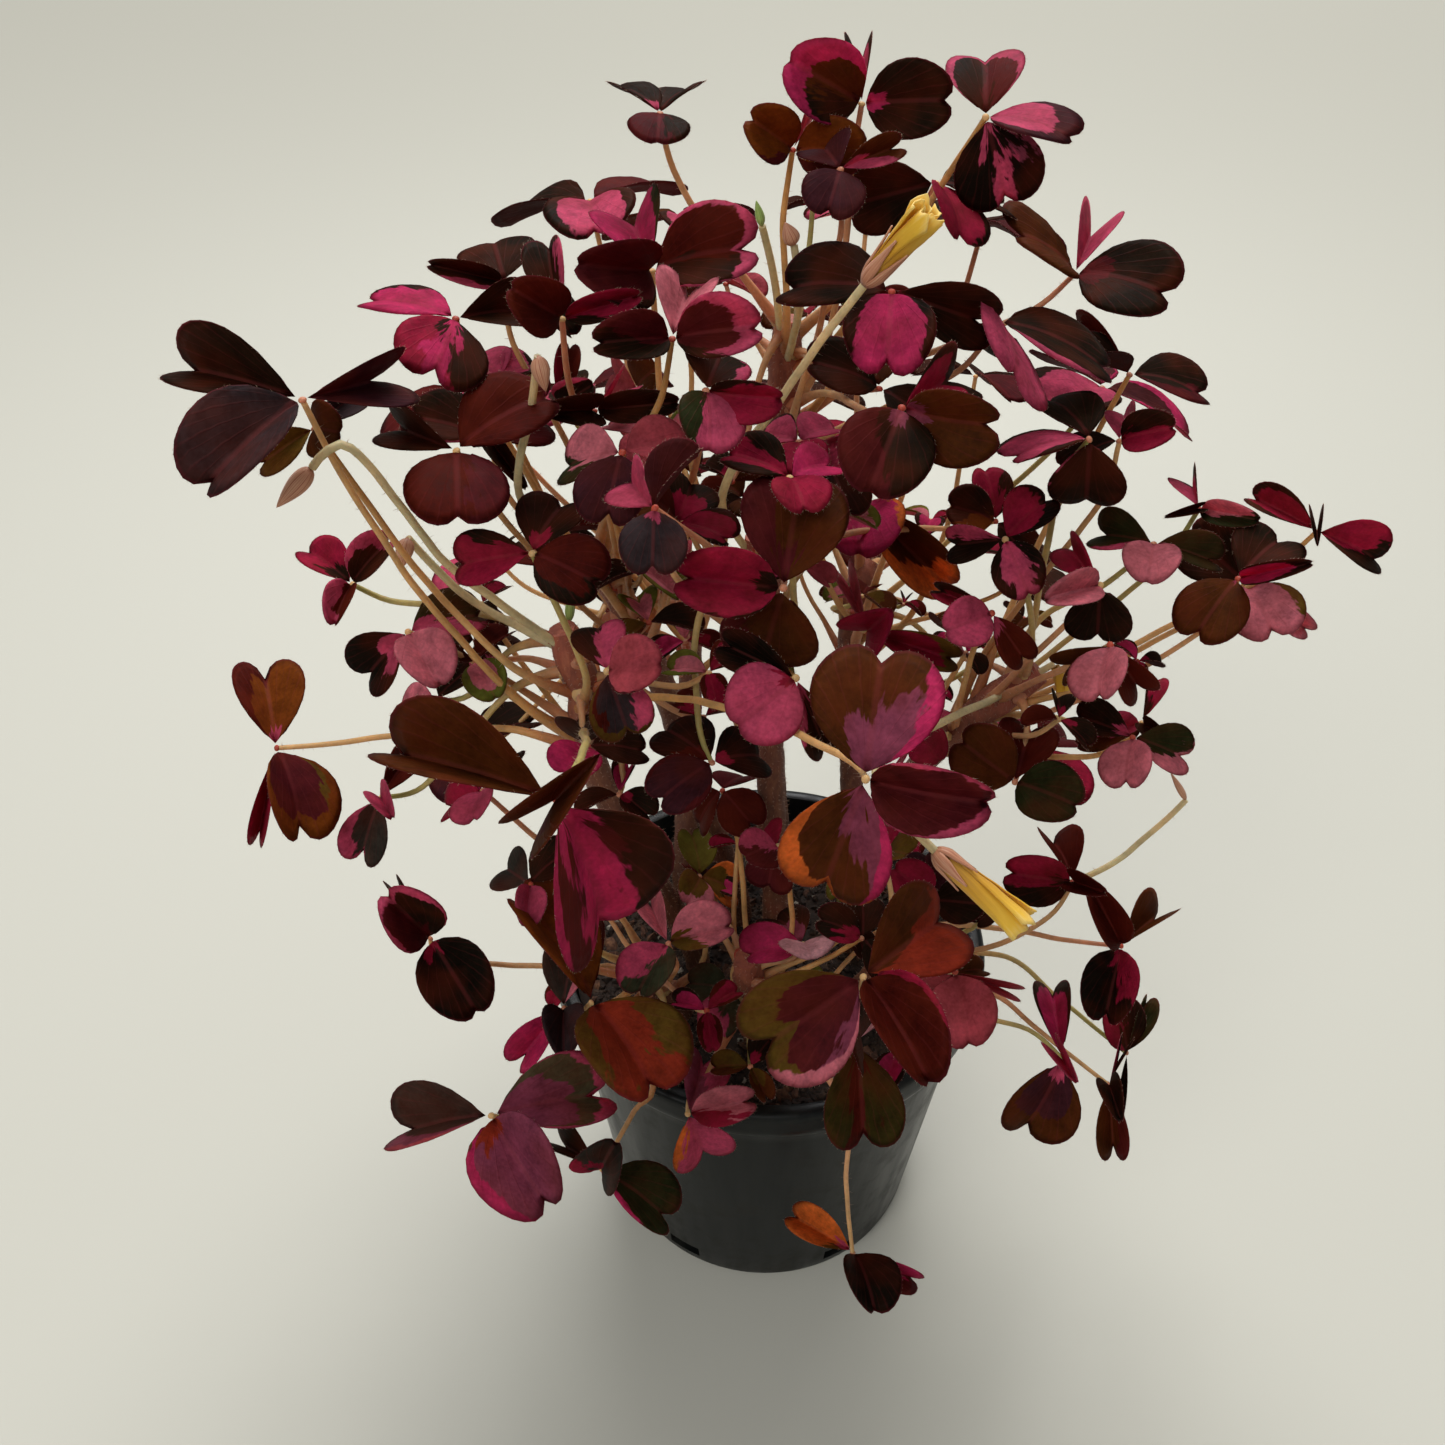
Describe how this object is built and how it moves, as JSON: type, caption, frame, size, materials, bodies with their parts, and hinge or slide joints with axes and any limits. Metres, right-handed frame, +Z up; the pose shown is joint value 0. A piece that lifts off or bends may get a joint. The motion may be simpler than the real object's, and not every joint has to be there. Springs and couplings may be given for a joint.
{
  "type": "potted volcanic sorrel plant",
  "caption": "Small round tapered nursery pot of soil with a bushy clump of dark burgundy and pink three-lobed leaves on thin petioles and closed yellow blooms.",
  "frame": {"origin": "centre of the pot's underside, on the surface that it stands on", "axes": "+Z up, +X to the right and +Y away from the side that the picture shows"},
  "size_m": [0.1319, 0.1347, 0.165],
  "materials": {
    "pot_plastic": "satin",
    "soil": "matte",
    "leaf": "satin",
    "petal": "satin"
  },
  "bodies": {
    "root": {"pot": "pot_plastic", "soil": "soil", "leafy_stem_left": "leaf", "leafy_stem_upper_left": "leaf", "leafy_stem_top": "leaf", "leafy_stem_centre": "leaf", "leafy_stem_right": "leaf", "leafy_stem_low_left": "leaf", "leafy_stem_low_front": "leaf", "leafy_stem_low_right": "leaf", "leafy_stem_back_left": "leaf", "leafy_stem_back_right": "leaf", "bloom_upper": "petal", "bloom_lower": "petal"}
  },
  "joints": []
}
